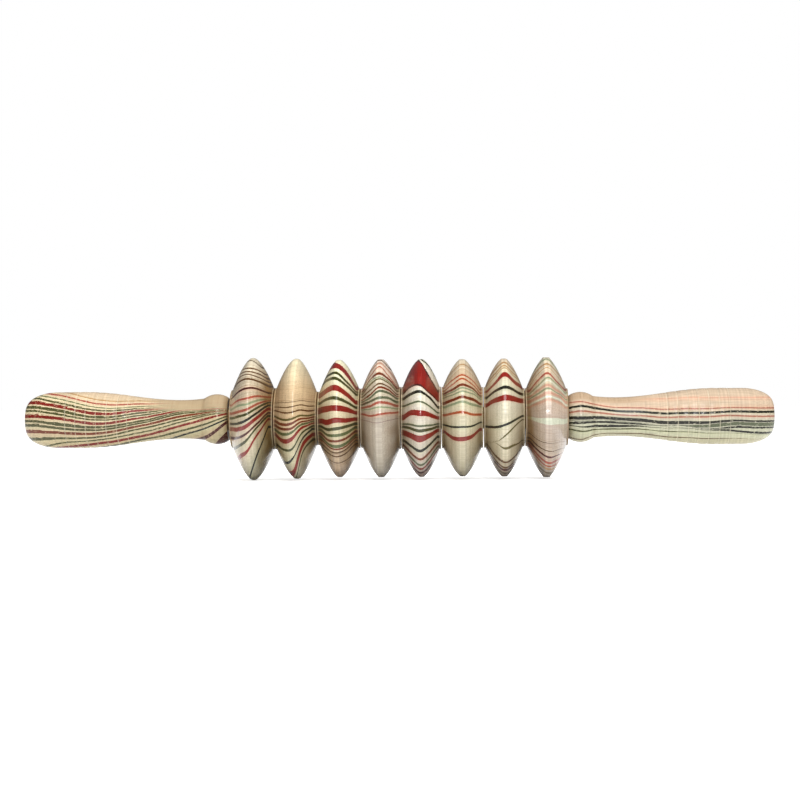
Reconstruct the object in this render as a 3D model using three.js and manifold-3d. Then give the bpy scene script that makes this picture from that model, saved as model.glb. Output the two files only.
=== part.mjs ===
// Massage roller: eight double-cone wooden wheels spin freely on one hardwood
// dowel, which is glued and nailed into the sockets of two turned handles.
//
// Millimetres. +X runs along the axle, +Z is up, and the origin is on the
// axle's axis, midway between the outer ends of the handles.

import * as THREE from 'three';
import { mergeVertices } from 'three/addons/utils/BufferGeometryUtils.js';
import Module from 'manifold-3d';

// ---------------------------------------------------------------- dimensions

const TOTAL_LENGTH = 410;

// Handles, measured inwards from the outer end.
const HANDLE_LENGTH = 111.7;
const END_FLAT_RADIUS = 7;
const END_ROUND_LENGTH = 17;
const SWELL_RADIUS = 15.4;
const SWELL_END = 32;
const WAIST_RADIUS = 10.7;
const WAIST_AT = 86;
const CREASE_RADIUS = 11.5;
const CREASE_AT = 98.2;
const BEAD_RADIUS = 13.8; // at the crown of the bead, from the axis
const BEAD_CROWN_AT = 105.1;
const BEAD_ARC_RADIUS = 11.5; // of the bead's own cross-section
const SOCKET_DEPTH = 36;
const SOCKET_CONE = 2.5; // the drill's point at the socket's bottom
const SOCKET_LEAD_IN = 0.6;

// Axle.
const AXLE_RADIUS = 6;
const GLUE_GAP = 0.3;
const AXLE_CHAMFER = 1;

// Wheels, from left to right. They are turned by hand, so no two are quite alike.
// A hub is the small end of a cone, and each wheel has one on its left and right.
const WHEEL_SIZES = [
  { radius: 33.8, width: 23.7, leftHub: 16.0, rightHub: 17.0 },
  { radius: 33.2, width: 23.2, leftHub: 17.0, rightHub: 14.9 },
  { radius: 32.4, width: 23.0, leftHub: 14.9, rightHub: 16.5 },
  { radius: 32.5, width: 21.8, leftHub: 16.5, rightHub: 17.2 },
  { radius: 32.5, width: 21.6, leftHub: 17.2, rightHub: 17.2 },
  { radius: 32.3, width: 22.6, leftHub: 17.0, rightHub: 16.8 },
  { radius: 32.5, width: 22.2, leftHub: 16.8, rightHub: 16.1 },
  { radius: 33.0, width: 23.2, leftHub: 16.1, rightHub: 15.8 },
];
const WHEEL_GAP = 0.45;
const RUNNING_CLEARANCE = 0.35;
const RIM_HALF_WIDTH = 2.1;
const RIM_EDGE = 0.6; // the edges of the rim are eased by this much
const FLANK_BULGE = 1.6; // each cone swells by this much halfway along
const HUB_LAND = 0.7; // the short cylinder at the end of each cone
const BORE_LEAD_IN = 0.5;

// Nails that lock the handles to the axle.
const NAIL_LENGTH = 18;
const NAIL_RADIUS = 0.8;
const NAIL_HEAD_RADIUS = 1.25;
const NAIL_HEAD_HEIGHT = 0.6;
const NAIL_POINT = 2;
const NAIL_PROUD = 0.1; // the head stands this far out of the bead
const NAIL_GAP = 0.3;
const NAIL_HOLE_OVERRUN = 1; // the hole is cut this far past the head

// Facets round each turned piece.
const WHEEL_SEGMENTS = 40;
const HANDLE_SEGMENTS = 36;
const AXLE_SEGMENTS = 32;
const NAIL_SEGMENTS = 12;

const halfLength = TOTAL_LENGTH / 2;
const innerFace = halfLength - HANDLE_LENGTH;
const axleLength = 2 * (innerFace + SOCKET_DEPTH - GLUE_GAP);
const nailX = halfLength - BEAD_CROWN_AT;
const nailHeadAt = BEAD_RADIUS + NAIL_PROUD;

// ----------------------------------------------------------------- materials

const material = (color, roughness, metalness = 0) =>
  new THREE.MeshStandardMaterial({ color, roughness, metalness });

const wheelWood = material(0xdccba2, 0.35);
const handleWood = material(0xd8c39c, 0.45);
const axleWood = material(0xd2ad78, 0.6);
const nailSteel = material(0xa8a8a8, 0.4, 1);

// ------------------------------------------------------------------- helpers

const wasm = await Module();
wasm.setup();

// A closed geometry as a manifold-3d solid.
function solidOf(geometry) {
  const bare = geometry.clone();
  bare.deleteAttribute('normal');
  bare.deleteAttribute('uv');
  const merged = mergeVertices(bare, 1e-4);
  return new wasm.Manifold(
    new wasm.Mesh({
      numProp: 3,
      vertProperties: merged.attributes.position.array,
      triVerts: new Uint32Array(merged.index.array),
    }),
  );
}

// A manifold-3d solid as a geometry.
function geometryOf(solid) {
  const { vertProperties, triVerts } = solid.getMesh();
  const geometry = new THREE.BufferGeometry();
  geometry.setAttribute('position', new THREE.BufferAttribute(vertProperties, 3));
  geometry.setIndex(new THREE.BufferAttribute(triVerts, 1));
  geometry.computeVertexNormals();
  return geometry;
}

// A profile of [radius, height] points turned about the Y axis. The facets are
// set so that flats, not corners, face along the other two axes.
function turned(profile, segments) {
  const points = profile.map(([radius, height]) => new THREE.Vector2(radius, height));
  return new THREE.LatheGeometry(points, segments, Math.PI / segments);
}

// Samples of curve(s) for s from 0 to 1, in `steps` equal steps.
const sampled = (steps, curve) =>
  Array.from({ length: steps + 1 }, (_, i) => curve(i / steps));

function named(name, geometry, itsMaterial) {
  const mesh = new THREE.Mesh(geometry, itsMaterial);
  mesh.name = name;
  return mesh;
}

// ------------------------------------------------------------------- handles

// The outside of a handle, from its flat end to its inner face.
function handleOutline() {
  const endRound = sampled(5, (s) => {
    const height = END_ROUND_LENGTH * (1 - Math.cos((s * Math.PI) / 2));
    const rise = SWELL_RADIUS - END_FLAT_RADIUS;
    return [END_FLAT_RADIUS + rise * Math.sin((s * Math.PI) / 2), height];
  });
  const taper = sampled(6, (s) => {
    const fall = (SWELL_RADIUS - WAIST_RADIUS) * (1 - Math.cos(s * Math.PI)) / 2;
    return [SWELL_RADIUS - fall, SWELL_END + s * (WAIST_AT - SWELL_END)];
  });
  const neck = sampled(2, (s) => [
    WAIST_RADIUS + (CREASE_RADIUS - WAIST_RADIUS) * s * s,
    WAIST_AT + s * (CREASE_AT - WAIST_AT),
  ]);
  const bead = sampled(6, (s) => {
    const height = CREASE_AT + s * (HANDLE_LENGTH - CREASE_AT);
    const along = height - BEAD_CROWN_AT;
    const drop = BEAD_ARC_RADIUS - Math.sqrt(BEAD_ARC_RADIUS ** 2 - along ** 2);
    return [BEAD_RADIUS - drop, height];
  });
  return [...endRound, ...taper, ...neck.slice(1), ...bead.slice(1)];
}

// The blind socket, from its mouth to the drill's point.
function socketOutline() {
  const radius = AXLE_RADIUS + GLUE_GAP;
  return [
    [radius + SOCKET_LEAD_IN, HANDLE_LENGTH],
    [radius, HANDLE_LENGTH - SOCKET_LEAD_IN],
    [radius, HANDLE_LENGTH - SOCKET_DEPTH],
    [0, HANDLE_LENGTH - SOCKET_DEPTH - SOCKET_CONE],
  ];
}

// The hole that the nail leaves, standing on its point at the nail's own origin.
function nailHole() {
  const shank = NAIL_RADIUS + NAIL_GAP;
  const head = NAIL_HEAD_RADIUS + NAIL_GAP;
  const headSeat = NAIL_LENGTH - NAIL_HEAD_HEIGHT - NAIL_GAP;
  return turned(
    [
      [0, -NAIL_GAP],
      [shank, -NAIL_GAP],
      [shank, headSeat],
      [head, headSeat],
      [head, NAIL_LENGTH + NAIL_HOLE_OVERRUN],
      [0, NAIL_LENGTH + NAIL_HOLE_OVERRUN],
    ],
    NAIL_SEGMENTS,
  );
}

// Takes a geometry from the nail's own frame, point at the origin and head
// along +Y, to one whose head points down at radius nailHeadAt.
function drivenUp(geometry, alongAxle) {
  return geometry
    .clone()
    .rotateX(-Math.PI / 2)
    .translate(alongAxle, 0, NAIL_LENGTH - nailHeadAt);
}

function handleGeometry() {
  const body = turned([[0, 0], ...handleOutline(), ...socketOutline()], HANDLE_SEGMENTS);
  body.rotateZ(-Math.PI / 2); // the outer end is at x = 0 and the socket opens towards +X
  return geometryOf(solidOf(body).subtract(solidOf(drivenUp(nailHole(), BEAD_CROWN_AT))));
}

// --------------------------------------------------------------------- axle

function axleGeometry() {
  const end = axleLength / 2;
  const dowel = turned(
    [
      [0, -end],
      [AXLE_RADIUS - AXLE_CHAMFER, -end],
      [AXLE_RADIUS, AXLE_CHAMFER - end],
      [AXLE_RADIUS, end - AXLE_CHAMFER],
      [AXLE_RADIUS - AXLE_CHAMFER, end],
      [0, end],
    ],
    AXLE_SEGMENTS,
  ).rotateZ(-Math.PI / 2);
  const holes = [-nailX, nailX].map((x) => solidOf(drivenUp(nailHole(), x)));
  return geometryOf(solidOf(dowel).subtract(holes[0]).subtract(holes[1]));
}

function nailGeometry() {
  const neck = NAIL_LENGTH - NAIL_HEAD_HEIGHT;
  const nail = turned(
    [
      [0, 0],
      [NAIL_RADIUS, NAIL_POINT],
      [NAIL_RADIUS, neck],
      [NAIL_HEAD_RADIUS, neck],
      [NAIL_HEAD_RADIUS, NAIL_LENGTH],
      [0, NAIL_LENGTH],
    ],
    NAIL_SEGMENTS,
  );
  return drivenUp(nail, 0);
}

// ------------------------------------------------------------------- wheels

// One side of a wheel, from the edge of the rim round to the bore, as
// [radius, distance from the wheel's middle plane].
function wheelSide(radius, hub, halfWidth) {
  const bore = AXLE_RADIUS + RUNNING_CLEARANCE;
  const coneFrom = radius - RIM_EDGE;
  const coneWidth = halfWidth - HUB_LAND - RIM_HALF_WIDTH;
  const cone = sampled(2, (s) => [
    coneFrom + s * (hub - coneFrom) + 4 * s * (1 - s) * FLANK_BULGE,
    RIM_HALF_WIDTH + s * coneWidth,
  ]);
  return [
    [radius, RIM_HALF_WIDTH - RIM_EDGE],
    ...cone,
    [hub, halfWidth],
    [bore + BORE_LEAD_IN, halfWidth],
    [bore, halfWidth - BORE_LEAD_IN],
  ];
}

function wheelGeometry({ radius, width, leftHub, rightHub }) {
  const right = wheelSide(radius, rightHub, width / 2);
  const left = wheelSide(radius, leftHub, width / 2)
    .map(([r, height]) => [r, -height])
    .reverse();
  return turned([...left, ...right, left[0]], WHEEL_SEGMENTS).rotateZ(-Math.PI / 2);
}

// ----------------------------------------------------------------- assembly

const roller = new THREE.Group();

roller.add(named('axle_dowel', axleGeometry(), axleWood));

for (const [side, sign] of [['left', -1], ['right', 1]]) {
  const handle = named(`${side}_handle`, handleGeometry(), handleWood);
  handle.position.x = sign * halfLength;
  handle.rotation.z = sign > 0 ? Math.PI : 0;
  const nail = named(`${side}_handle_nail`, nailGeometry(), nailSteel);
  nail.position.x = sign * nailX;
  roller.add(handle, nail);
}

// The last wheel sits one gap from the right handle, and the wheels' play is all
// at the left handle.
let wheelEnd = innerFace - WHEEL_GAP;
for (let number = WHEEL_SIZES.length; number > 0; number -= 1) {
  const size = WHEEL_SIZES[number - 1];
  const wheel = named(`wheel_${number}`, wheelGeometry(size), wheelWood);
  wheel.position.x = wheelEnd - size.width / 2;
  wheelEnd -= size.width + WHEEL_GAP;
  roller.add(wheel);
}

export default roller;
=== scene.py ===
"""Looks for the wooden massage roller: striped laminated wheels and handles under clear lacquer.

Every turned piece is built round the X axis. Its stripes are the edges of dyed veneers, and
each vertex carries the height of the veneer that it lies in, which the material then colours.
"""

import math

import bpy
import numpy as np
from mathutils import Matrix, Vector


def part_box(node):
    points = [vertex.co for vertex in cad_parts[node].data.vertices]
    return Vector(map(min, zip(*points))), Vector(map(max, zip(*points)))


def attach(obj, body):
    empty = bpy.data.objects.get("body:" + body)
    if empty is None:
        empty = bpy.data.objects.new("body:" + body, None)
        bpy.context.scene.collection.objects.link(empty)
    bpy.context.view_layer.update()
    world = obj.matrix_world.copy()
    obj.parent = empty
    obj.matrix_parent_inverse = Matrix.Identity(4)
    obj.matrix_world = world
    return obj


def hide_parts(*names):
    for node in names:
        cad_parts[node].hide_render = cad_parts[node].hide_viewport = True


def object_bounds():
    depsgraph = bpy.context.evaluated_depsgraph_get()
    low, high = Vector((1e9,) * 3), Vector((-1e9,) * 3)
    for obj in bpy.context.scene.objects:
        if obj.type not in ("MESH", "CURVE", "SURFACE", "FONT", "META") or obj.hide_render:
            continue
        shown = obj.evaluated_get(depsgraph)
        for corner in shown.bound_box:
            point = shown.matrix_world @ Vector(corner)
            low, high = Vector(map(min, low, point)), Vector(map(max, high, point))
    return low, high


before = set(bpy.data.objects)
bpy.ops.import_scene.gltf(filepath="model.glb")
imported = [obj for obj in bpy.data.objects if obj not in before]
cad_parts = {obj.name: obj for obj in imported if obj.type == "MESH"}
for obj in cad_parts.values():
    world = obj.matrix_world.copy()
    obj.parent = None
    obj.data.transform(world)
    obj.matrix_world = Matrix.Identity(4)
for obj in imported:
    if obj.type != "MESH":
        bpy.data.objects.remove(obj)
cad_low, cad_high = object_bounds()

MM = 0.001


# ------------------------------------------------------------------------ dimensions

WHEEL_NAMES = [f"wheel_{number}" for number in range(1, 9)]
WHEEL_SEGMENTS = 320
RIM_HALF_WIDTH = 2.1 * MM
RIM_EDGE = 0.6 * MM
HUB_LAND = 0.7 * MM
HUB_EDGE = 0.15 * MM
HUB_CREASE = 0.15 * MM
FLANK_BULGE = 1.6 * MM
BORE_RADIUS = 6.35 * MM
BORE_LEAD_IN = 0.5 * MM

HANDLE_SEGMENTS = 256
HANDLE_LENGTH = 111.7 * MM
END_FLAT_RADIUS = 7 * MM
END_ROUND_LENGTH = 17 * MM
SWELL_RADIUS = 15.4 * MM
SWELL_END = 32 * MM
WAIST_RADIUS = 10.7 * MM
WAIST_AT = 86 * MM
CREASE_RADIUS = 11.5 * MM
CREASE_AT = 98.2 * MM
BEAD_RADIUS = 13.8 * MM
BEAD_CROWN_AT = 105.1 * MM
BEAD_ARC_RADIUS = 11.5 * MM
SOCKET_RADIUS = 6.3 * MM
SOCKET_DEPTH = 36 * MM
SOCKET_CONE = 2.5 * MM

RING_COUNT = 7
RING_PITCH = 5.6 * MM
RING_HALF_WIDTH = 0.35 * MM
RING_DEPTH = 0.16 * MM
RING_BULGE = 0.1 * MM  # the wood stands this much proud between two rings

NAIL_SEGMENTS = 48
NAIL_LENGTH = 18 * MM
NAIL_RADIUS = 0.8 * MM
NAIL_HEAD_RADIUS = 1.25 * MM
NAIL_HEAD_HEIGHT = 0.6 * MM
NAIL_POINT = 2 * MM


# --------------------------------------------------------------------- mesh building


def smooth_step(value, low, high):
    """0 below low, 1 above high, and a smooth rise between them."""
    share = np.clip((value - low) / (high - low), 0, 1)
    return share * share * (3 - 2 * share)


def slow_waves(points, size, seed):
    """A smooth value that wanders between about -1 and 1, in waves about `size` long."""
    random = np.random.default_rng(seed)
    waves = 6
    total = np.zeros(len(points))
    for _ in range(waves):
        direction = random.normal(size=3)
        direction *= 2 * math.pi / (size * np.linalg.norm(direction))
        total += np.sin(points @ direction + random.uniform(0, 2 * math.pi))
    return total / math.sqrt(waves)


def turned(name, profile, segments, closed=False):
    """A smooth piece: a profile of (along, radius) turned about X. A closed profile is a ring."""
    points = []
    rings = []
    for along, radius in profile:
        count = segments if radius > 0 else 1
        rings.append([len(points) + step % count for step in range(segments + 1)])
        angles = [2 * math.pi * step / count for step in range(count)]
        points += [(along, radius * math.sin(a), radius * math.cos(a)) for a in angles]
    following = rings[1:] + rings[:1] if closed else rings[1:]
    faces = []
    for ring, after in zip(rings, following):
        for step in range(segments):
            corners = (ring[step], after[step], after[step + 1], ring[step + 1])
            faces.append(tuple(dict.fromkeys(corners)))
    mesh = bpy.data.meshes.new(name)
    mesh.from_pydata(points, [], faces)
    mesh.polygons.foreach_set("use_smooth", [True] * len(mesh.polygons))
    mesh.set_sharp_from_angle(angle=math.radians(38))
    piece = bpy.data.objects.new(name, mesh)
    bpy.context.scene.collection.objects.link(piece)
    return piece


def points_of(piece):
    points = np.zeros(len(piece.data.vertices) * 3)
    piece.data.vertices.foreach_get("co", points)
    return points.reshape(-1, 3)


def store(piece, name, values):
    """Gives each vertex a number that the material reads by name."""
    attribute = piece.data.attributes.new(name, "FLOAT", "POINT")
    attribute.data.foreach_set("value", np.asarray(values, np.float32))


# ----------------------------------------------------------------------------- paint

PAINTS = {
    "red": "#8a190e",
    "crimson": "#7d1a0c",
    "wine": "#4a120c",
    "rose": "#a4503e",
    "clay": "#a56a55",
    "rust": "#74300f",
    "salmon": "#cb9b82",
    "orange": "#a84c22",
    "black": "#1b190c",
    "green": "#43431b",
    "moss": "#4d4c24",
    "fern": "#5a6338",
    "olive": "#5e5426",
    "sage": "#8d9674",
    "mint": "#d9dcc4",
    "slate": "#5c6248",
    "brown": "#60401f",
    "taupe": "#6e5b3f",
    "tan": "#b58a58",
    "mauve": "#a08a80",
}

# Dye bleeds from a coloured veneer into the wood on both sides of it.
BLUSH = "#e4b090"
CELERY = "#cfd3a4"
BLEED = {
    "red": BLUSH,
    "crimson": BLUSH,
    "wine": BLUSH,
    "rose": BLUSH,
    "clay": BLUSH,
    "rust": BLUSH,
    "salmon": BLUSH,
    "orange": BLUSH,
    "black": CELERY,
    "green": CELERY,
    "moss": CELERY,
    "fern": CELERY,
    "sage": CELERY,
    "slate": CELERY,
}
BLEED_STRENGTH = 0.5
BLEED_REACH = 1.4  # millimetres from the edge of a strip

PAINT_SHARE = 0.74  # of the light that the colours above would throw back


def linear(hex_colour):
    """A colour such as #e3dab4 as linear red, green, blue and alpha."""
    channels = [int(hex_colour[i : i + 2], 16) / 255 for i in (1, 3, 5)]
    return [PAINT_SHARE * ((c + 0.055) / 1.055) ** 2.4 for c in channels] + [1]


# ------------------------------------------------------------------- veneer stacks
#
# A strip is (paint, heights above the axle at each station, thickness). Strips are listed
# from the top down. A thickness may differ from station to station, and one below 0 ends
# the strip before it reaches that station.
# "ground" is the wood between the strips, and "fine" the strength of its hairlines, both at
# heights from the top down. On the wheels the ground is partly the wood's own tone and partly
# painted light: lightest at the top of the rim and darker towards the bottom.

# On a wheel, a station is a share of the half width, from the left hub at -1 to the right hub
# at 1. Heights are shares of the rim's radius. "shade" is how strongly painted shade browns
# the flanks: upper left, upper right, lower left and lower right.
WHEEL_STATIONS = np.array([-0.85, -0.45, 0, 0.45, 0.85])
WHEEL_STACKS = [
    {
        "strips": [
            ("taupe", (0.76, 0.88, 0.95, 0.84, 0.70), 0.014),
            ("brown", (0.66, 0.78, 0.82, 0.76, 0.66), 0.022),
            ("brown", (0.62, 0.73, 0.77, 0.71, 0.62), 0.015),
            ("brown", (0.58, 0.68, 0.72, 0.66, 0.58), 0.015),
            ("brown", (0.50, 0.60, 0.64, 0.60, 0.52), 0.031),
            ("wine", (0.33, 0.44, 0.49, 0.48, 0.42), 0.033),
            ("rose", (0.21, 0.30, 0.335, 0.365, 0.35), 0.035),
            ("sage", (0.14, 0.21, 0.24, 0.30, 0.31), 0.033),
            ("rose", (0.085, 0.11, 0.15, 0.25, 0.29), 0.043),
            ("green", (0.01, 0.035, 0.075, 0.19, 0.26), 0.047),
            ("black", (-0.075, -0.07, -0.015, 0.115, 0.22), 0.047),
            ("red", (-0.165, -0.165, -0.11, 0.035, 0.16), (0.066, 0.068, 0.068, 0.064, 0.054)),
            ("wine", (-0.30, -0.29, -0.22, -0.055, 0.10), 0.043),
            ("green", (-0.49, -0.43, -0.33, -0.11, 0.05), 0.051),
            ("red", (-0.72, -0.61, -0.50, -0.23, 0.0), (0.064, 0.091, 0.064, 0.054, 0.044)),
            ("black", (-1.5, -1.2, -0.88, -0.50, -0.13), (0.07, 0.07, 0.06, 0.055, 0.045)),
        ],
        "ground": [
            (1, "#e9ddc2"),
            (0.45, "#c7b69b"),
            (0.1, "#d0bfa3"),
            (-0.5, "#d2c6a9"),
            (-0.85, "#cac4a7"),
            (-1, "#afa685"),
        ],
        "fine": [(1, 0.8), (0.45, 0.9), (0.1, 0.2), (-0.1, 0)],
        "soft_rim": 1.3,
        "shade": (0.3, 2.6, 0.6, 2.6),
    },
    {
        "strips": [
            ("taupe", (0.27, 0.27, 0.28, 0.30, 0.27), 0.014),
            ("brown", (0.20, 0.19, 0.20, 0.23, 0.20), 0.022),
            ("brown", (0.14, 0.11, 0.11, 0.15, 0.13), 0.031),
            ("olive", (0.04, -0.01, 0.0, 0.06, 0.06), 0.029),
            ("rust", (-0.03, -0.09, -0.07, 0.015, 0.025), (0.051, 0.051, 0.045, 0.035, 0.033)),
            ("rust", (-0.10, -0.165, -0.15, -0.04, -0.02), (0.047, 0.047, 0.045, 0.035, 0.033)),
            ("fern", (-0.17, -0.245, -0.215, -0.08, -0.05), 0.043),
            ("red", (-0.255, -0.355, -0.315, -0.135, -0.075), (0.066, 0.07, 0.067, 0.049, 0.033)),
            ("green", (-0.425, -0.50, -0.475, -0.22, -0.12), 0.041),
            ("black", (-0.62, -0.715, -0.64, -0.32, -0.165), 0.047),
            ("red", (-1.3, -0.98, -0.85, -0.42, -0.25), (0.106, 0.106, 0.116, 0.091, 0.054)),
            ("green", (-1.5, -1.15, -1.0, -0.53, -0.33), 0.047),
        ],
        "ground": [
            (1, "#faedc6"),
            (0.5, "#ddc097"),
            (0, "#dabd93"),
            (-0.2, "#dac6a1"),
            (-0.6, "#d2c8a5"),
            (-1, "#c3b695"),
        ],
        "fine": [(1, 0.1), (0.6, 0.2), (0.4, 0.6), (0.0, 0.6), (-0.25, 0.1)],
        "soft_rim": 1.1,
        "shade": (0.5, 0.5, 1.8, 1.6),
    },
    {
        "strips": [
            ("red", (0.70, 0.85, 0.89, 0.745, 0.505), (0.096, 0.096, 0.096, 0.096, 0.066)),
            ("green", (0.60, 0.72, 0.76, 0.61, 0.44), 0.037),
            ("green", (0.545, 0.645, 0.67, 0.55, 0.40), 0.047),
            ("red", (0.385, 0.475, 0.51, 0.41, 0.27), (0.086, 0.094, 0.098, 0.084, 0.067)),
            ("green", (0.25, 0.325, 0.345, 0.28, 0.185), 0.045),
            ("red", (0.13, 0.165, 0.185, 0.16, 0.095), (0.106, 0.104, 0.098, 0.091, 0.064)),
            ("red", (-0.035, -0.055, -0.03, -0.03, -0.015), (0.091, 0.096, 0.091, 0.084, 0.067)),
            ("green", (-0.12, -0.165, -0.165, -0.13, -0.09), 0.051),
            ("fern", (-0.18, -0.26, -0.28, -0.24, -0.15), 0.049),
            ("rust", (-0.24, -0.34, -0.375, -0.32, -0.21), 0.047),
            ("fern", (-0.29, -0.40, -0.465, -0.405, -0.27), 0.047),
            ("rust", (-0.34, -0.44, -0.51, -0.45, -0.31), 0.027),
            ("brown", (-0.40, -0.50, -0.56, -0.50, -0.36), 0.027),
            ("brown", (-0.45, -0.56, -0.62, -0.56, -0.42), 0.027),
            ("brown", (-0.58, -0.68, -0.74, -0.68, -0.55), 0.014),
        ],
        "ground": [
            (1, "#faf5d2"),
            (0.2, "#e0d4b1"),
            (-0.3, "#d6c8a3"),
            (-0.5, "#c7b08f"),
            (-1, "#c2a78b"),
        ],
        "fine": [(1, 0), (-0.4, 0.1), (-0.6, 0.7), (-1, 0.3)],
        "soft_rim": 0.9,
        "shade": (1.0, 1.0, 2.2, 2.0),
    },
    {
        "strips": [
            ("brown", (0.70, 0.86, 0.98, 0.85, 0.68), 0.016),
            ("salmon", (0.62, 0.80, 0.93, 0.79, 0.60), 0.023),
            ("orange", (0.50, 0.71, 0.875, 0.70, 0.51), 0.024),
            ("rust", (0.44, 0.65, 0.76, 0.65, 0.50), 0.038),
            ("sage", (0.42, 0.61, 0.70, 0.61, 0.47), 0.029),
            ("olive", (0.40, 0.55, 0.665, 0.58, 0.45), 0.024),
            ("brown", (0.36, 0.46, 0.58, 0.52, 0.40), 0.029),
            ("rust", (0.30, 0.385, 0.515, 0.47, 0.36), 0.037),
            ("slate", (0.275, 0.34, 0.45, 0.42, 0.33), 0.045),
            ("slate", (0.24, 0.29, 0.343, 0.34, 0.27), 0.043),
            ("rose", (0.18, 0.21, 0.265, 0.25, 0.205), 0.035),
            ("sage", (0.15, 0.165, 0.19, 0.18, 0.16), 0.023),
            ("rose", (0.07, 0.05, 0.065, 0.085, 0.10), 0.039),
            ("mauve", (-0.03, -0.05, -0.075, -0.04, 0.0), 0.016),
        ],
        "ground": [
            (1, "#f8e3ce"),
            (0.6, "#d6cbb3"),
            (0.2, "#cdbfab"),
            (0, "#c0b3a1"),
            (-1, "#c2b8a5"),
        ],
        "fine": [(1, 0.5), (0.5, 0.3), (0, 0.1), (-0.3, 0)],
        "soft_rim": 0.5,
        "shade": (0.9, 0.9, 1.6, 1.4),
    },
    {
        "strips": [
            ("green", (1.3, 1.13, 0.99, 0.85, 0.62), 0.027),
            ("wine", (1.2, 1.05, 0.93, 0.69, 0.45), (0.035, 0.035, 0.035, 0.033, 0.027)),
            ("red", (0.47, 0.655, 0.74, 0.535, 0.35), (0.06, 0.21, 0.34, 0.20, 0.10)),
            ("wine", (0.405, 0.53, 0.553, 0.42, 0.285), 0.032),
            ("black", (0.315, 0.405, 0.44, 0.345, 0.175), 0.055),
            ("slate", (0.20, 0.245, 0.27, 0.20, 0.085), 0.037),
            ("red", (0.015, 0.085, 0.075, 0.055, 0.0), (0.096, 0.094, 0.094, 0.08, 0.063)),
            ("slate", (-0.09, -0.11, -0.13, -0.12, -0.10), 0.037),
            ("green", (-0.135, -0.18, -0.21, -0.185, -0.145), 0.049),
            ("red", (-0.235, -0.30, -0.34, -0.285, -0.205), (0.091, 0.098, 0.106, 0.084, 0.067)),
            ("black", (-0.37, -0.475, -0.545, -0.445, -0.315), 0.051),
            ("rust", (-0.45, -0.59, -0.68, -0.565, -0.405), 0.045),
            ("slate", (-0.52, -0.665, -0.78, -0.66, -0.47), 0.035),
            ("red", (-0.57, -0.73, -0.85, -0.73, -0.53), 0.035),
            ("wine", (-0.62, -0.80, -0.92, -0.80, -0.58), 0.047),
        ],
        "ground": [
            (1, "#faf2e0"),
            (0.3, "#e0d8c7"),
            (-0.5, "#d7cebb"),
            (-0.85, "#cabdaf"),
            (-1, "#b3a19b"),
        ],
        "fine": [(1, 0.1), (0, 0.05), (-0.8, 0.3)],
        "soft_rim": 0.9,
        "shade": (1.0, 0.6, 1.2, 0.8),
    },
    {
        "strips": [
            ("tan", (0.62, 0.78, 0.90, 0.80, 0.60), 0.021),
            ("tan", (0.56, 0.71, 0.82, 0.73, 0.54), 0.016),
            ("orange", (0.50, 0.63, 0.715, 0.64, 0.47), 0.025),
            ("orange", (0.45, 0.56, 0.66, 0.57, 0.42), 0.023),
            ("rust", (0.40, 0.48, 0.565, 0.50, 0.37), 0.037),
            ("sage", (0.37, 0.44, 0.515, 0.455, 0.35), 0.027),
            ("sage", (0.33, 0.39, 0.45, 0.40, 0.32), 0.027),
            ("rust", (0.24, 0.305, 0.355, 0.31, 0.235), 0.045),
            ("sage", (0.18, 0.225, 0.27, 0.22, 0.19), 0.041),
            ("orange", (0.055, 0.07, 0.095, 0.065, 0.055), 0.037),
            ("black", (-0.115, -0.15, -0.15, -0.135, -0.08), 0.041),
            ("red", (-0.235, -0.33, -0.35, -0.31, -0.195), (0.051, 0.068, 0.08, 0.068, 0.051)),
        ],
        "ground": [
            (1, "#f2e1c2"),
            (0.75, "#d3bb9b"),
            (0.4, "#d3c7a7"),
            (0, "#d6cdaf"),
            (-0.4, "#d0c5a7"),
            (-1, "#c9c0a3"),
        ],
        "fine": [(1, 0.4), (0.6, 0.4), (0.2, 0)],
        "soft_rim": 0.6,
        "shade": (0.9, 0.6, 1.5, 1.2),
    },
    {
        "strips": [
            ("tan", (0.62, 0.79, 0.92, 0.79, 0.66), 0.021),
            ("tan", (0.56, 0.73, 0.87, 0.735, 0.62), 0.021),
            ("tan", (0.53, 0.69, 0.835, 0.70, 0.59), 0.016),
            ("red", (0.43, 0.58, 0.715, 0.605, 0.50), (0.035, 0.053, 0.082, 0.074, 0.061)),
            ("black", (0.325, 0.44, 0.505, 0.45, 0.375), 0.049),
            ("red", (0.205, 0.28, 0.335, 0.31, 0.27), (0.067, 0.086, 0.106, 0.094, 0.078)),
            ("black", (-0.145, -0.15, -0.11, -0.05, 0.03), 0.041),
            ("olive", (-0.44, -0.41, -0.285, -0.15, -0.03), (-0.06, -0.02, 0.040, 0.038, 0.030)),
            ("olive", (-0.45, -0.43, -0.513, -0.46, -0.40), (-0.06, -0.02, 0.040, 0.026, -0.03)),
            ("brown", (-0.44, -0.63, -0.74, -0.66, -0.52), 0.029),
            ("brown", (-0.50, -0.70, -0.83, -0.75, -0.60), 0.031),
            ("wine", (-0.55, -0.76, -0.88, -0.80, -0.66), 0.037),
            ("taupe", (-0.62, -0.82, -0.94, -0.86, -0.72), 0.025),
        ],
        "ground": [
            (1, "#efd7b8"),
            (0.84, "#dad1b1"),
            (0.3, "#dcd5bd"),
            (-0.2, "#d6cdb1"),
            (-0.7, "#ccc1a3"),
            (-1, "#ad9a87"),
        ],
        "fine": [(1, 0.4), (0.8, 0.1), (-0.6, 0.1), (-0.8, 0.6)],
        "soft_rim": 0.7,
        "shade": (0.9, 0.6, 1.6, 1.2),
    },
    {
        "strips": [
            ("sage", (0.60, 0.83, 0.96, 0.80, 0.66), 0.018),
            ("tan", (0.54, 0.76, 0.885, 0.74, 0.60), 0.022),
            ("tan", (0.49, 0.69, 0.82, 0.67, 0.53), 0.018),
            ("rose", (0.43, 0.60, 0.72, 0.57, 0.45), 0.032),
            ("sage", (0.38, 0.52, 0.645, 0.53, 0.40), 0.026),
            ("mint", (0.355, 0.49, 0.605, 0.49, 0.37), 0.028),
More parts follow.
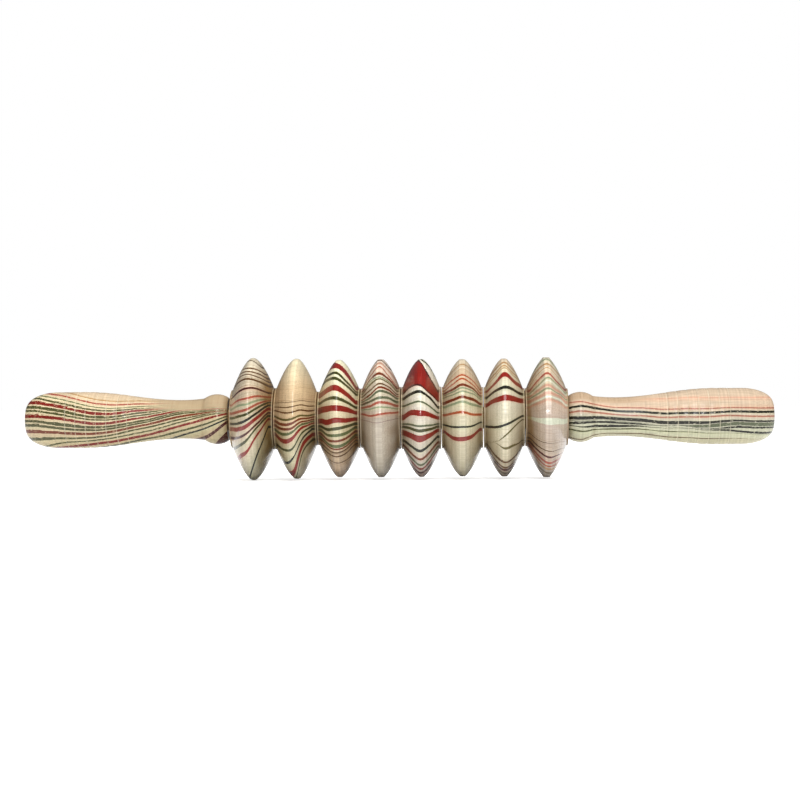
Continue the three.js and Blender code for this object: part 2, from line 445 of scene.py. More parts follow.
            ("salmon", (0.33, 0.45, 0.53, 0.43, 0.33), 0.036),
            ("sage", (0.30, 0.39, 0.475, 0.395, 0.29), 0.022),
            ("salmon", (0.26, 0.33, 0.405, 0.36, 0.25), 0.044),
            ("mint", (0.20, 0.28, 0.34, 0.30, 0.20), 0.024),
            ("salmon", (0.16, 0.23, 0.29, 0.25, 0.16), 0.018),
            ("mint", (-0.005, -0.04, -0.05, -0.07, -0.06), (0.039, 0.066, 0.106, 0.096, 0.076)),
            ("brown", (-0.27, -0.38, -0.42, -0.40, -0.40), (0.035, 0.029, 0.012, 0.0, 0.0)),
            ("brown", (-0.33, -0.47, -0.55, -0.53, -0.50), (0.037, 0.031, 0.014, 0.0, 0.0)),
            ("wine", (-0.38, -0.54, -0.65, -0.62, -0.56), (0.041, 0.035, 0.031, 0.012, 0.0)),
            ("rose", (-0.43, -0.62, -0.745, -0.70, -0.60), 0.035),
            ("orange", (-0.47, -0.68, -0.80, -0.76, -0.64), 0.025),
            ("tan", (-0.51, -0.73, -0.85, -0.81, -0.68), 0.023),
            ("taupe", (-0.57, -0.79, -0.92, -0.87, -0.74), 0.027),
        ],
        "ground": [
            (1, "#eddec4"),
            (0.6, "#d0bfa1"),
            (0.25, "#ccb7a3"),
            (0, "#c8b5a5"),
            (-0.5, "#c0ad99"),
            (-1, "#baad9d"),
        ],
        "fine": [(1, 0.5), (0.3, 0.5), (-0.1, 0.35), (-0.6, 0.5), (-1, 0.2)],
        "soft_rim": 0.15,
        "shade": (1.8, 0.1, 2.6, 0.2),
    },
]

# On a handle, a station is the distance from its outer end. Stations, heights and
# thicknesses are in millimetres, heights to about half a millimetre. A thickness below
# zero ends a strip on its way to that station. "plain_above" says where the neck's
# stripes fade out.
LEFT_STACK = {
    "stations": (8, 20, 40, 64, 86, 105, 112),
    "strips": [
        ("tan", (17, 15.5, 11, 10, 10, 11, 11), 0.5),
        ("rose", (15, 13.5, 9, 8.5, 9, 9, 9), 0.7),
        ("fern", (13.5, 11.5, 7, 7, 8, 8, 8), 0.7),
        ("moss", (12, 9.5, 5.5, 6, 7.5, 7.5, 7.5), 0.7),
        ("crimson", (9.5, 7.5, 3.5, 5, 6.8, 7, 7), 1.1),
        ("moss", (7, 5, 1.5, 3.5, 6.2, 6.5, 6.5), 0.8),
        ("moss", (5, 3, 0, 2, 5.5, 6, 6), 0.8),
        ("crimson", (2, 0.8, -2, 0.8, 4.7, 5.5, 5.5), 1.2),
        ("moss", (-0.5, -2.5, -4, -1, 4, 5, 5), 0.8),
        ("moss", (-3, -4.5, -5.5, -2, 3, 4.5, 4.5), 0.9),
        ("rust", (-6.5, -7, -7.5, -3.5, 1.5, 4, 4.2), 1.2),
        ("moss", (-10.5, -10, -9.5, -5, 0, 3.5, 3.8), 0.8),
        ("moss", (-15, -12.5, -11, -7, -1.5, 3, 3.4), 0.8),
        ("crimson", (-17, -15, -13, -9, -3.5, 1.5, 3), 1.3),
        ("moss", (-20, -18, -15.5, -11, -6.5, -1, 1.5), 0.8),
        ("black", (-23, -22, -20, -15, -9, -3, 0), 1.1),
        ("wine", (-30, -28, -26, -21, -14, -7, -1.5), 1.9),
        ("wine", (-50, -48, -44, -38, -29, -15.5, -9), 5.5),
    ],
    "ground": [
        (15, "#dcc3a2"),
        (8, "#decaa4"),
        (0, "#dac8a2"),
        (-8, "#cfbd95"),
        (-16, "#c8b890"),
        (-44, "#cbc09a"),
    ],
    "fine": [(15, 0.3), (7, 0.15), (-8, 0.15), (-15, 0.1)],
    "plain_above": (0.35, 0.62),
}
RIGHT_STACK = {
    "stations": (8, 20, 30, 52, 75, 98, 105, 112),
    "strips": [
        ("salmon", (10, 10, 10, 10, 9, 9.5, 11, 10), 0.4),
        ("clay", (4.5, 4.5, 4.5, 4, 4.7, 6.8, 8.5, 8), 0.7),
        ("black", (2.3, 2.3, 2.2, 1.6, 2.5, 4.7, 6, 5), 1.3),
        ("clay", (0, 0, 0.2, -0.5, 0.5, 2.5, 3.3, 2.5), 0.9),
        (
            "black",
            (-2.6, -2.6, -2.8, -3.5, -1.8, -0.3, -0.5, -0.3),
            (1, 1.1, 1.3, 1.8, 1.8, 1.7, 1.8, 1.7),
        ),
        (
            "slate",
            (-4.3, -4.3, -4.6, -5.5, -3.5, -1.6, -2, -1.8),
            (2.2, 2.2, 2, 0.8, -0.3, -0.3, -0.3, -0.3),
        ),
        (
            "black",
            (-6, -6, -6.5, -6, -4, -2.7, -3, -3.3),
            (1.1, 1.2, 1, -1.5, 1, 1.2, 1.4, 1.4),
        ),
        (
            "black",
            (-9, -8.4, -7.3, -7, -5.2, -5, -5.3, -4.3),
            (1.1, 1.2, 1, -1.2, 0.8, 1.3, 0.4, 0.4),
        ),
        (
            "green",
            (-10, -9.6, -9, -8.5, -6.8, -7, -7.8, -6.5),
            (-0.3, -0.3, 0.1, 0.5, 0.8, 1, 1.1, 1),
        ),
        (
            "taupe",
            (-12.5, -12.3, -12, -11.5, -9.3, -10, -12.3, -11),
            (-0.3, 0.2, 0.4, 0.7, 0.6, 0.6, 0.8, 0.8),
        ),
    ],
    "ground": [
        (15, "#cab49a"),
        (6, "#cbb49a"),
        (3, "#cdbda6"),
        (-4, "#c2c0aa"),
        (-10, "#cccbac"),
        (-15, "#d2c8a6"),
    ],
    "fine": [(15, 0.3), (4, 0.2), (-3, 0.1), (-15, 0.15)],
    "plain_above": (0.62, 0.8),
}


def edges_of(strips):
    """The heights of the strips' edges at each station, and their paints, from the bottom up."""
    heights = []
    paints = []
    for paint, middles, thickness in reversed(strips):
        half = np.broadcast_to(np.asarray(thickness) / 2, len(middles))
        heights += [np.array(middles) - half, np.array(middles) + half]
        paints.append(paint)
    return np.array(heights), paints


def smooth_through(stations, heights, along):
    """Smooth curves through the heights at each station, level beyond the last ones."""
    slopes = np.gradient(heights, stations, axis=1)
    after = np.clip(np.searchsorted(stations, along), 1, len(stations) - 1)
    before = after - 1
    width = stations[after] - stations[before]
    share = np.clip((along - stations[before]) / width, 0, 1)
    rise = share * share * (3 - 2 * share)
    leaving = share * (1 - share) ** 2 * width
    arriving = -(share**2) * (1 - share) * width
    level = heights[:, before] + (heights[:, after] - heights[:, before]) * rise
    return level + slopes[:, before] * leaving + slopes[:, after] * arriving


def veneer_at(nominal, local, height):
    """The nominal height of the veneer at each point, from the local heights of the edges."""
    order = np.arange(len(nominal))[:, None]
    local = np.maximum.accumulate(local - order * 1e-4, axis=0) + order * 1e-4
    nominal = np.concatenate([[nominal[0] - 30], nominal, [nominal[-1] + 30]])
    local = np.vstack([local[0] - 30, local, local[-1] + 30])
    above = np.clip((local < height).sum(axis=0), 1, len(nominal) - 1)
    point = np.arange(len(height))
    low = local[above - 1, point]
    high = local[above, point]
    share = np.clip((height - low) / (high - low), 0, 1)
    return nominal[above - 1] + share * (nominal[above] - nominal[above - 1])


# ------------------------------------------------------------------------- materials


def add_node(tree, kind, inputs=None, **settings):
    """A node with its settings, and its inputs linked where they are given as sockets."""
    node = tree.nodes.new(kind)
    for key, value in settings.items():
        setattr(node, key, value)
    for key, value in (inputs or {}).items():
        if isinstance(value, bpy.types.NodeSocket):
            tree.links.new(value, node.inputs[key])
        else:
            node.inputs[key].default_value = value
    return node


def calculate(tree, operation, *values):
    node = add_node(tree, "ShaderNodeMath", dict(enumerate(values)), operation=operation)
    return node.outputs[0]


def mapped(tree, value, low, high, to_low=0.0, to_high=1.0):
    node = add_node(tree, "ShaderNodeMapRange", {0: value, 1: low, 2: high, 3: to_low, 4: to_high})
    return node.outputs[0]


def mixed(tree, factor, first, second, blend="MIX"):
    inputs = {0: factor, 6: first, 7: second}
    node = add_node(tree, "ShaderNodeMix", inputs, data_type="RGBA", blend_type=blend)
    return node.outputs[2]


def noise(tree, vector, scale, detail=2.0, roughness=0.5):
    inputs = {"Vector": vector, "Scale": scale, "Detail": detail, "Roughness": roughness}
    return add_node(tree, "ShaderNodeTexNoise", inputs).outputs[0]


def line_noise(tree, value, scale, detail=2.0):
    inputs = {"W": value, "Scale": scale, "Detail": detail}
    return add_node(tree, "ShaderNodeTexNoise", inputs, noise_dimensions="1D").outputs[0]


def stretched(tree, vector, scale):
    return add_node(tree, "ShaderNodeMapping", {"Vector": vector, "Scale": scale}).outputs[0]


def attribute(tree, name):
    return add_node(tree, "ShaderNodeAttribute", attribute_name=name).outputs["Fac"]


def ramp(tree, factor, stops, interpolation):
    """A colour ramp through stops of (position, colour), in rising order."""
    node = add_node(tree, "ShaderNodeValToRGB", {0: factor})
    node.color_ramp.interpolation = interpolation
    elements = node.color_ramp.elements
    elements[0].position, elements[0].color = stops[0]
    elements[1].position, elements[1].color = stops[-1]
    for position, colour in stops[1:-1]:
        elements.new(position).color = colour
    return node


def new_material(name, roughness, coat):
    material = bpy.data.materials.new(name)
    material.use_nodes = True
    shader = material.node_tree.nodes["Principled BSDF"]
    shader.inputs["Roughness"].default_value = roughness
    shader.inputs["Coat Weight"].default_value = coat
    shader.inputs["Coat Roughness"].default_value = 0.09
    shader.inputs["Specular IOR Level"].default_value = 0.3
    return material, material.node_tree, shader


RAMP_STOPS = 30  # a colour ramp holds 32
WHEEL_COAT = 0.7  # the wheels are glossier than the handles
HANDLE_COAT = 0.3
EDGE_FUZZ = 0.11  # millimetres by which the fibres roughen a strip's edges
HAIRLINE = "#8e6f4c"
HAIRLINE_SHARE = 0.8
MOTTLE = "#8f7656"  # the darker patches of the plain wood
PLAIN_SHARE = 0.8
# Pale dust in the ring grooves, with a painted highlight where the groove sides catch the light.
RING_DUST_AND_SHEEN = "#efe5c8"  # pale dust in the ring grooves
RING_SHARE = 0.6
# Painted shade: the colour that the wood is multiplied towards where the painted shade is full.
PAINTED_SHADE_TINT = (0.45, 0.32, 0.17, 1)  # what is left of the light, in linear values


def strip_stops(bottoms, tops, paints, position):
    """Ramp stops that show each strip's paint between its two edges, and nothing elsewhere."""
    stops = []
    for bottom, top, paint in zip(bottoms, tops, paints):
        stops.append((position(bottom), linear(PAINTS[paint])))
        stops.append((position(top), (0, 0, 0, 0)))
    return stops


def bleed_stops(bottoms, tops, paints, position):
    """Ramp stops for the dye that fades out around each strip."""
    halfway = [(top + bottom) / 2 for top, bottom in zip(tops, bottoms[1:])]
    lowest = [bottoms[0] - BLEED_REACH] + halfway
    highest = halfway + [tops[-1] + BLEED_REACH]
    stops = []
    for bottom, top, paint, low, high in zip(bottoms, tops, paints, lowest, highest):
        colour = linear(BLEED.get(paint, BLUSH))[:3]
        strength = BLEED_STRENGTH if paint in BLEED else 0
        stops.append((position(max(low, bottom - BLEED_REACH)), colour + [0]))
        stops.append((position((bottom + top) / 2), colour + [strength]))
        stops.append((position(min(high, top + BLEED_REACH)), colour + [0]))
    return stops


def painted(tree, wood, place_in_stack, stops, interpolation, shown):
    """The wood with the colours of a long list of ramp stops on it."""
    for start in range(0, len(stops), RAMP_STOPS):
        group = [(0.0, (0, 0, 0, 0))] + stops[start : start + RAMP_STOPS]
        colours = ramp(tree, place_in_stack, group, interpolation)
        cover = calculate(tree, "MULTIPLY", colours.outputs["Alpha"], shown)
        wood = mixed(tree, cover, wood, colours.outputs["Color"])
    return wood


def laminate(name, stack, nominal, unit, plain_colour, coat, dashes):
    """Striped laminated wood under lacquer, coloured by the veneer height of each vertex.

    The strips' edges are at the nominal heights, in millimetres. The unit is the millimetres
    in one step of the heights of the ground and the hairlines.
    """
    material, tree, shader = new_material(name, roughness=0.42, coat=coat)
    place = add_node(tree, "ShaderNodeTexCoord").outputs["Object"]
    fibres = noise(tree, stretched(tree, place, (60, 1500, 1500)), 1.0, detail=3.0)
    along = add_node(tree, "ShaderNodeSeparateXYZ", {0: place}).outputs[0]
    streaks = line_noise(tree, along, 900.0, detail=3.0)

    fuzz = mapped(tree, fibres, 0.3, 0.7, -EDGE_FUZZ, EDGE_FUZZ)
    level = calculate(tree, "ADD", attribute(tree, "veneer"), fuzz)
    low = min(nominal[0], stack["ground"][-1][0] * unit) - 3
    high = max(nominal[-1], stack["ground"][0][0] * unit) + 3
    place_in_stack = mapped(tree, level, low, high)

    def position(height):
        return (height - low) / (high - low)

    ground = [(position(height * unit), linear(tone)) for height, tone in reversed(stack["ground"])]
    wood = ramp(tree, place_in_stack, ground, "LINEAR").outputs[0]
    strength = []
    for height, fine in reversed(stack["fine"]):
        strength.append((position(height * unit), (fine, fine, fine, 1)))
    hairlines = mapped(tree, line_noise(tree, level, 1.5, detail=3.0), 0.53, 0.66)
    visible = ramp(tree, place_in_stack, strength, "LINEAR").outputs[0]
    hairlines = calculate(tree, "MULTIPLY", hairlines, visible)
    wood = mixed(tree, calculate(tree, "MULTIPLY", hairlines, HAIRLINE_SHARE), wood, linear(HAIRLINE))

    shown = calculate(tree, "SUBTRACT", 1.0, attribute(tree, "plain"))
    if dashes:
        flecks = noise(tree, stretched(tree, place, (650, 1900, 1900)), 1.0, detail=1.0)
        shown = calculate(tree, "MULTIPLY", shown, mapped(tree, flecks, 0.62, 0.70, 1.0, 0.35))
    strips = (nominal[::2], nominal[1::2], edges_of(stack["strips"])[1], position)
    wood = painted(tree, wood, place_in_stack, bleed_stops(*strips), "LINEAR", shown)
    wood = painted(tree, wood, place_in_stack, strip_stops(*strips), "CONSTANT", shown)

    mottle = mapped(tree, calculate(tree, "ADD", streaks, fibres), 0.85, 1.2, 0.1, 0.85)
    plain_wood = mixed(tree, mottle, linear(plain_colour), linear(MOTTLE))
    plain_share = calculate(tree, "MULTIPLY", attribute(tree, "plain"), PLAIN_SHARE)
    wood = mixed(tree, plain_share, wood, plain_wood)
    # Pale dust in the ring grooves, with a painted highlight where the groove sides catch the light.
    dust_and_sheen = calculate(tree, "MULTIPLY", attribute(tree, "ring"), RING_SHARE)
    wood = mixed(tree, dust_and_sheen, wood, linear(RING_DUST_AND_SHEEN))
    clouds = noise(tree, stretched(tree, place, (60, 90, 90)), 1.0, detail=3.0)
    tone = mapped(tree, clouds, 0.3, 0.7, 0.9, 1.06)
    tone = calculate(tree, "MULTIPLY", tone, mapped(tree, fibres, 0.3, 0.7, 0.84, 1.12))
    tone = calculate(tree, "MULTIPLY", tone, mapped(tree, streaks, 0.3, 0.7, 0.9, 1.09))
    # Painted shade, multiplied into the wood's colour by its vertex attribute.
    wood = mixed(tree, attribute(tree, "painted_shade"), wood, PAINTED_SHADE_TINT, "MULTIPLY")
    shaded = add_node(tree, "ShaderNodeHueSaturation", {"Color": wood, "Value": tone}).outputs[0]
    tree.links.new(shaded, shader.inputs["Base Color"])

    gloss = mapped(tree, clouds, 0.3, 0.7, 0.34, 0.5)
    tree.links.new(gloss, shader.inputs["Roughness"])
    relief = calculate(tree, "ADD", fibres, calculate(tree, "MULTIPLY", streaks, 1.5))
    bump = add_node(tree, "ShaderNodeBump", {"Height": relief, "Strength": 0.25, "Distance": 0.00012})
    tree.links.new(bump.outputs[0], shader.inputs["Normal"])
    return material


def bare_wood(name):
    """The dowel: plain straight-grained hardwood with no lacquer."""
    material, tree, shader = new_material(name, roughness=0.6, coat=0.0)
    place = add_node(tree, "ShaderNodeTexCoord").outputs["Object"]
    grain = noise(tree, stretched(tree, place, (40, 1300, 1300)), 1.0, detail=5.0, roughness=0.6)
    stops = [(0.3, linear("#a67c48")), (0.55, linear("#d0a873")), (0.75, linear("#dfbf90"))]
    colour = ramp(tree, grain, stops, "LINEAR").outputs[0]
    tree.links.new(colour, shader.inputs["Base Color"])
    tree.links.new(mapped(tree, grain, 0.3, 0.7, 0.72, 0.5), shader.inputs["Roughness"])
    bump = add_node(tree, "ShaderNodeBump", {"Height": grain, "Strength": 0.4, "Distance": 0.0002})
    tree.links.new(bump.outputs[0], shader.inputs["Normal"])
    return material


def nail_steel(name):
    """Bright wire nail, dulled in patches."""
    material, tree, shader = new_material(name, roughness=0.35, coat=0.0)
    shader.inputs["Metallic"].default_value = 1.0
    place = add_node(tree, "ShaderNodeTexCoord").outputs["Object"]
    patches = noise(tree, place, 1400.0, detail=4.0, roughness=0.65)
    stops = [(0.35, linear("#7d7a75")), (0.6, linear("#b9b7b2"))]
    tree.links.new(ramp(tree, patches, stops, "LINEAR").outputs[0], shader.inputs["Base Color"])
    tree.links.new(mapped(tree, patches, 0.3, 0.7, 0.5, 0.26), shader.inputs["Roughness"])
    bump = add_node(tree, "ShaderNodeBump", {"Height": patches, "Strength": 0.3, "Distance": 0.00005})
    tree.links.new(bump.outputs[0], shader.inputs["Normal"])
    return material


# ---------------------------------------------------------------------------- wheels


def end_radius(node, side):
    """The outer radius of a CAD wheel's left (-1) or right (1) hub."""
    low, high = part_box(node)
    face = high.x if side > 0 else low.x
    corners = [v.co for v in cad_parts[node].data.vertices if abs(v.co.x - face) < 0.01 * MM]
    return max(math.hypot(c.y, c.z) for c in corners)


def wheel_side(radius, hub, half_width, softness):
    """One side of a wheel's outline as (distance from the middle plane, radius)."""
    land_at = half_width - HUB_LAND
    near_rim = np.linspace(0, RIM_HALF_WIDTH + 1.6 * MM, 22)[:-1]
    flank = np.linspace(near_rim[-1] + 0.2 * MM, land_at - 0.5 * MM, 20)
    crease = np.linspace(land_at - 0.4 * MM, land_at + 0.4 * MM, 9)
    distance = np.concatenate([near_rim, flank, crease, [half_width - HUB_EDGE * 2]])

    share = (distance - RIM_HALF_WIDTH) / (land_at - RIM_HALF_WIDTH)
    start = radius - RIM_EDGE
    bulge = 4 * share * (1 - share) * FLANK_BULGE * (share > 0)
    cone = start + share * (hub - start) + bulge
    crown = radius - 0.15 * MM * softness * (distance / RIM_HALF_WIDTH) ** 2
    blend = softness * 0.7 * MM
    rim = -blend * np.logaddexp(-crown / blend, -cone / blend)
    outer = np.maximum(rim, hub)
    outer -= HUB_CREASE * np.exp(-(((distance - land_at) / (0.18 * MM)) ** 2))
    side = list(zip(distance, outer))
    side += [
        (half_width - HUB_EDGE, hub),
        (half_width - 0.3 * HUB_EDGE, hub - 0.3 * HUB_EDGE),
        (half_width, hub - HUB_EDGE),
        (half_width, (hub + BORE_RADIUS) / 2),
        (half_width, BORE_RADIUS + BORE_LEAD_IN),
        (half_width - BORE_LEAD_IN, BORE_RADIUS),
    ]
    return side


def make_wheel(number, node):
    low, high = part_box(node)
    middle = (low.x + high.x) / 2
    half_width = (high.x - low.x) / 2
    radius = (high.z - low.z) / 2
    stack = WHEEL_STACKS[number - 1]
    hubs = {side: end_radius(node, side) for side in (-1, 1)}
    right = wheel_side(radius, hubs[1], half_width, stack["soft_rim"])
    left = wheel_side(radius, hubs[-1], half_width, stack["soft_rim"])
    outline = [(middle - d, r) for d, r in reversed(left)] + [(middle + d, r) for d, r in right[1:]]
    wheel = turned(f"turned_wheel_{number}", outline, WHEEL_SEGMENTS, closed=True)

    points = points_of(wheel)
    station = (points[:, 0] - middle) / half_width
    behind = np.maximum(points[:, 1], 0) / radius
    skew = station * (1 - 1.5 * behind**2)
    height = points[:, 2] / MM + 3 * behind**2 + 0.2 * slow_waves(points, 14 * MM, number)
    edges = edges_of(stack["strips"])[0] * radius / MM
    nominal = np.maximum.accumulate(edges[:, 2])
    local = smooth_through(WHEEL_STATIONS, edges, skew)
    store(wheel, "veneer", veneer_at(nominal, local, height))
    from_end = half_width - np.abs(points[:, 0] - middle)
    land = 1 - smooth_step(from_end, HUB_LAND - 0.1 * MM, HUB_LAND + 0.1 * MM)
    store(wheel, "plain", 0.6 * land)
    store(wheel, "ring", np.zeros(len(points)))
    # Painted shade: the flanks darken from the rim towards the hubs, scaled for each side and each upper
    # or lower half by the wheel's "shade", in random patches; the hub lands get a little of it.
    painted_shade = 0.26 * smooth_step(np.abs(station), 0.15, 0.7) + 0.4 * smooth_step(np.abs(station), 0.6, 1.0)
    upper_left, upper_right, lower_left, lower_right = stack["shade"]
    upper = smooth_step(points[:, 2] / radius, -0.35, 0.15)
    on_left = upper * upper_left + (1 - upper) * lower_left
    on_right = upper * upper_right + (1 - upper) * lower_right
    sided = np.where(station > 0, on_right, on_left)
    patchy = 1 + 0.2 * slow_waves(points, 9 * MM, number + 20)
    # Painted shade in the crease beside the gap to the next wheel.
    gap_shade = 1 - smooth_step(from_end, 0.1 * MM, 0.35 * MM)
    painted_shade = np.maximum(painted_shade * sided * patchy * (1 - land), 0.35 * land)
    store(wheel, "painted_shade", np.clip(painted_shade + 0.7 * gap_shade, 0, 1))

    name = f"wheel_laminate_{number}"
    wood = laminate(name, stack, nominal, radius / MM, "#d8cba4", WHEEL_COAT, dashes=False)
    wheel.data.materials.append(wood)
    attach(wheel, f"{node}_body")
    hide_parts(node)


# --------------------------------------------------------------------------- handles


def smooth_radius(t):
    """The handle's radius at t from its outer end, before its rings are cut."""
    if t < END_ROUND_LENGTH:
        rise = math.sqrt(1 - (1 - t / END_ROUND_LENGTH) ** 2)
        return END_FLAT_RADIUS + (SWELL_RADIUS - END_FLAT_RADIUS) * rise
    if t < SWELL_END:
        return SWELL_RADIUS
    if t < WAIST_AT:
        share = (t - SWELL_END) / (WAIST_AT - SWELL_END)
        return SWELL_RADIUS - (SWELL_RADIUS - WAIST_RADIUS) * (1 - math.cos(share * math.pi)) / 2
    if t < CREASE_AT:
        share = (t - WAIST_AT) / (CREASE_AT - WAIST_AT)
        return WAIST_RADIUS + (CREASE_RADIUS - WAIST_RADIUS) * share**2
    along = t - BEAD_CROWN_AT
    return BEAD_RADIUS - BEAD_ARC_RADIUS + math.sqrt(BEAD_ARC_RADIUS**2 - along**2)


def ring_share(t, first_ring):
    """1 at the bottom of a ring groove, and 0 where it meets the wood."""
    nearest = min(abs(t - first_ring - k * RING_PITCH) for k in range(RING_COUNT))
    return max(0.0, 1 - nearest / RING_HALF_WIDTH)


def handle_radius(t, first_ring):
    inside = first_ring < t < first_ring + (RING_COUNT - 1) * RING_PITCH
    swell = RING_BULGE * math.sin(math.pi * ((t - first_ring) / RING_PITCH % 1)) if inside else 0
    return smooth_radius(t) + swell - RING_DEPTH * ring_share(t, first_ring)


def handle_profile(first_ring):
    """The handle's outline as (distance from the outer end, radius), down into its socket."""
    cap = [END_ROUND_LENGTH * (1 - math.cos(a)) for a in np.linspace(0, math.pi / 2, 24)]
    shank = list(np.arange(END_ROUND_LENGTH + 0.5 * MM, HANDLE_LENGTH - 0.2 * MM, 0.55 * MM))
    rings = [
        first_ring + k * RING_PITCH + offset * RING_HALF_WIDTH
        for k in range(RING_COUNT)
        for offset in (-1, -0.5, 0, 0.5, 1)
    ]
    shank = [t for t in shank if ring_share(t, first_ring) == 0]
    outer = [(t, handle_radius(t, first_ring)) for t in sorted(cap + shank + rings)]
    face_radius = smooth_radius(HANDLE_LENGTH)
    mouth = [
        (HANDLE_LENGTH, face_radius - 0.2 * MM),
        (HANDLE_LENGTH, (face_radius + SOCKET_RADIUS) / 2),
        (HANDLE_LENGTH, SOCKET_RADIUS + 0.6 * MM),
        (HANDLE_LENGTH - 0.6 * MM, SOCKET_RADIUS),
        (HANDLE_LENGTH - SOCKET_DEPTH, SOCKET_RADIUS),
        (HANDLE_LENGTH - SOCKET_DEPTH - SOCKET_CONE, 0.0),
    ]
    return [(0.0, 0.0), (0.0, END_FLAT_RADIUS * 0.6)] + outer + mouth


def make_handle(node, side, stack, first_ring, plain_colour):
    low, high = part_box(node)
    outer_end = high.x if side > 0 else low.x
    profile = [(outer_end - side * t, r) for t, r in handle_profile(first_ring)]
    handle = turned(f"turned_{node}", profile if side < 0 else profile[::-1], HANDLE_SEGMENTS)

    points = points_of(handle)
    t = (outer_end - points[:, 0]) * side
    rho = np.hypot(points[:, 1], points[:, 2])
    behind = np.maximum(points[:, 1], 0) / SWELL_RADIUS
    drift = 2 * behind**2 * np.sin(t / (38 * MM))
    height = points[:, 2] / MM + drift + 0.15 * slow_waves(points, 22 * MM, 40 + side)
    edges = edges_of(stack["strips"])[0]
    nominal = np.maximum.accumulate(edges.mean(axis=1))
    local = smooth_through(np.array(stack["stations"]), edges, t / MM)
    store(handle, "veneer", veneer_at(nominal, local, height))
    outline = np.array([smooth_radius(x) for x in np.clip(t, 0, HANDLE_LENGTH)])
    neck = smooth_step(t, 60 * MM, 84 * MM) * smooth_step(points[:, 2] / outline, *stack["plain_above"])
    store(handle, "plain", neck * 0.9)
    # The ring grooves' mask, for their pale dust and painted highlight.
    cut = np.array([ring_share(x, first_ring) for x in t]) * (rho > SOCKET_RADIUS * 1.1)
    store(handle, "ring", cut * (0.75 + 0.25 * slow_waves(points, 7 * MM, 60 + side)))
    # Painted shade in the crease before the bead and where the handle meets the wheel.
    near_bead = 1 - smooth_step(np.abs(t - CREASE_AT), 0, 1.6 * MM)
    near_wheel = smooth_step(t, HANDLE_LENGTH - 3 * MM, HANDLE_LENGTH)
    store(handle, "painted_shade", 0.25 * near_bead + 0.4 * near_wheel)

    name = f"{node}_laminate"
    wood = laminate(name, stack, nominal, 1, plain_colour, HANDLE_COAT, dashes=True)
    handle.data.materials.append(wood)
    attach(handle, "stick")
    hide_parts(node)


def make_nail(node, material):
    """A wire nail driven upwards, with a slightly domed head flush with the bead."""
    low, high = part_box(node)
    neck = NAIL_LENGTH - NAIL_HEAD_HEIGHT
    dome = [
        (NAIL_LENGTH - 0.18 * MM * (1 - math.cos(a)), NAIL_HEAD_RADIUS * math.sin(a))
        for a in np.linspace(math.pi / 2, 0.12, 8)
    ]
    profile = [
        (0.0, 0.0),
        (NAIL_POINT, NAIL_RADIUS),
        (neck - 0.4 * MM, NAIL_RADIUS),
        (neck, NAIL_HEAD_RADIUS * 0.9),
        (neck + 0.1 * MM, NAIL_HEAD_RADIUS),
        (NAIL_LENGTH - 0.25 * MM, NAIL_HEAD_RADIUS),
    ]
    nail = turned(f"driven_{node}", profile + dome + [(NAIL_LENGTH, 0.0)], NAIL_SEGMENTS)
    down = Matrix.Rotation(math.pi / 2, 4, "Y")
    place = Matrix.Translation(((low.x + high.x) / 2, 0, high.z)) @ down
    nail.data.transform(place)
    nail.data.materials.append(material)
    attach(nail, "stick")
    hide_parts(node)


# ------------------------------------------------------------- stage, light and camera

VIEW_DISTANCE = 1.02
VIEW_WIDTH = 0.44  # seen across the picture at the axle
VIEW_FROM_RIGHT = 0.038
VIEW_AIM = 0.012
VIEW_SHIFT = -0.025
VIEW_HEIGHT = 0.0099
VIEW_ROLL = math.radians(0.37)


def make_stage():
    """A wide pale floor under the wheels."""
    mesh = bpy.data.meshes.new("floor")
    size = 8.0
    level = cad_low.z
    corners = [(-size, -size, level), (size, -size, level), (size, size, level), (-size, size, level)]
    mesh.from_pydata(corners, [], [(0, 1, 2, 3)])
    floor = bpy.data.objects.new("floor", mesh)
    bpy.context.scene.collection.objects.link(floor)
    material, tree, shader = new_material("pale_floor", roughness=0.9, coat=0.0)
    shader.inputs["Base Color"].default_value = (0.9, 0.9, 0.9, 1)
    shader.inputs["Specular IOR Level"].default_value = 0.0
    shader.inputs["Emission Color"].default_value = (1, 1, 1, 1)
    seen = add_node(tree, "ShaderNodeLightPath").outputs["Is Camera Ray"]
    tree.links.new(mapped(tree, seen, 0.0, 1.0, 0.0, 0.65), shader.inputs["Emission Strength"])
    mesh.materials.append(material)


def make_light(name, place, aim, size, power, mirrored=True):
    data = bpy.data.lights.new(name, "AREA")
    data.shape = "RECTANGLE"
    data.size, data.size_y = size
    data.energy = power
    light = bpy.data.objects.new(name, data)
    light.location = place
    light.rotation_euler = (Vector(aim) - Vector(place)).to_track_quat("-Z", "Y").to_euler()
    light.visible_glossy = mirrored
    bpy.context.scene.collection.objects.link(light)


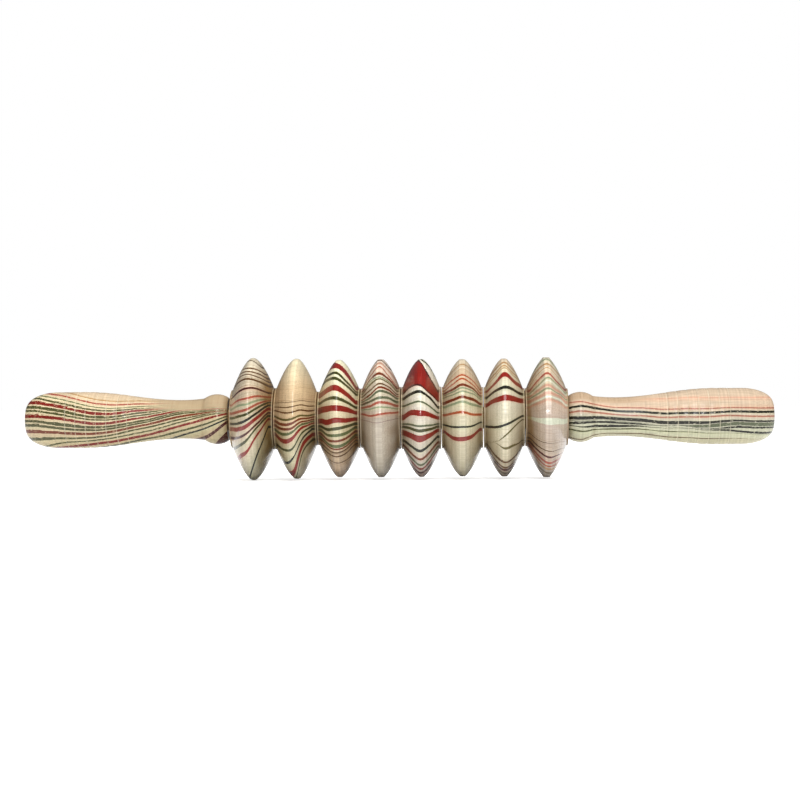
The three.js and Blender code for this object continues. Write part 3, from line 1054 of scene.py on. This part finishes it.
def make_world(strength, mirrored):
    """A studio that gives soft light, is dim in the lacquer, and is plain white to the camera."""
    world = bpy.data.worlds.new("white_studio")
    world.use_nodes = True
    tree = world.node_tree
    background = tree.nodes["Background"]
    background.inputs[0].default_value = (1, 1, 1, 1)
    ray = add_node(tree, "ShaderNodeLightPath").outputs
    unseen = mapped(tree, ray["Is Glossy Ray"], 0.0, 1.0, strength, mirrored)
    seen = calculate(tree, "MAXIMUM", unseen, ray["Is Camera Ray"])
    tree.links.new(seen, background.inputs[1])
    bpy.context.scene.world = world


def make_camera():
    data = bpy.data.cameras.new("camera")
    data.shift_x = VIEW_SHIFT
    data.lens = data.sensor_width / 2 * VIEW_DISTANCE / (VIEW_WIDTH / 2)
    camera = bpy.data.objects.new("camera", data)
    camera.location = (VIEW_FROM_RIGHT, -VIEW_DISTANCE, VIEW_HEIGHT)
    towards = Vector((VIEW_AIM, 0, VIEW_HEIGHT)) - camera.location
    turn = towards.to_track_quat("-Z", "Y").to_matrix().to_4x4()
    camera.rotation_euler = (turn @ Matrix.Rotation(-VIEW_ROLL, 4, "Z")).to_euler()
    bpy.context.scene.collection.objects.link(camera)
    bpy.context.scene.camera = camera


# ----------------------------------------------------------------------------- build

for number, node in enumerate(WHEEL_NAMES, start=1):
    make_wheel(number, node)
make_handle("left_handle", -1, LEFT_STACK, 23.6 * MM, "#bca683")
make_handle("right_handle", 1, RIGHT_STACK, 24.9 * MM, "#d3b594")
steel = nail_steel("wire_nail")
make_nail("left_handle_nail", steel)
make_nail("right_handle_nail", steel)
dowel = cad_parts["axle_dowel"]
dowel.data.materials.clear()
dowel.data.materials.append(bare_wood("bare_hardwood"))

make_stage()
make_world(0.54, 0.12)
make_light("tall_softbox", (0.12, -1.3, 0.75), (0, 0, 0), (0.3, 1.3), 8.5)
make_light("top_softbox", (0.3, -0.4, 1.5), (0, 0, 0), (1.4, 1.0), 34, mirrored=False)
make_light("flash", (0.1, -1.2, 0.25), (0, 0, 0), (0.07, 0.07), 0.6)
make_camera()
bpy.context.scene.view_settings.view_transform = "Standard"
